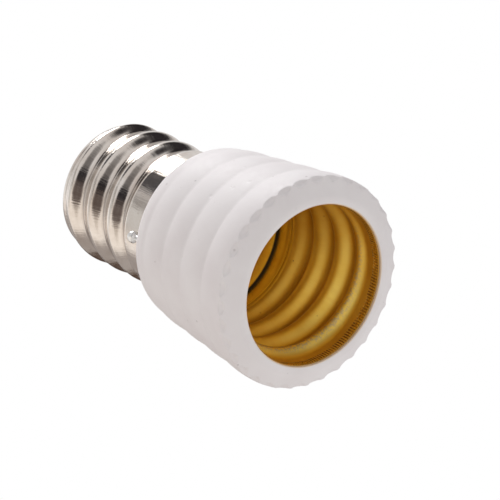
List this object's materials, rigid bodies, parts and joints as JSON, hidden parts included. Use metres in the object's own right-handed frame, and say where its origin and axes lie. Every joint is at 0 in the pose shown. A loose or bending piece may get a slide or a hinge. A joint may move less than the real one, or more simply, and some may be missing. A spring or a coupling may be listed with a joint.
{
  "type": "lamp socket adapter",
  "caption": "Lamp socket adapter: a small plated screw base carries a white fluted body with a larger brass screw socket, with a sprung centre contact inside.",
  "frame": {"origin": "centre of the socket's mouth, in the plane of the ring that the part stands on", "axes": "+Z along the common axis, from the socket's mouth to the tip contact; +X through the wire that links the two shells"},
  "size_m": [0.0184, 0.0184, 0.0297],
  "materials": {
    "white_plastic": "satin moulded thermoset with fine pits",
    "brass_sheet": "rolled sheet brass, semi-bright",
    "nickel_plate": "bright nickel plate over sheet brass",
    "plated_pin": "nickel-plated brass",
    "spring_bronze": "phosphor bronze strip",
    "tinned_wire": "tinned copper wire",
    "solder": "bright solder"
  },
  "bodies": {
    "root": {"body": "white_plastic", "socket_shell": "brass_sheet", "base_shell": "nickel_plate", "center_pin": "plated_pin", "contact_leaf": "spring_bronze", "link_wire": "tinned_wire", "solder_bead": "solder"}
  },
  "joints": []
}
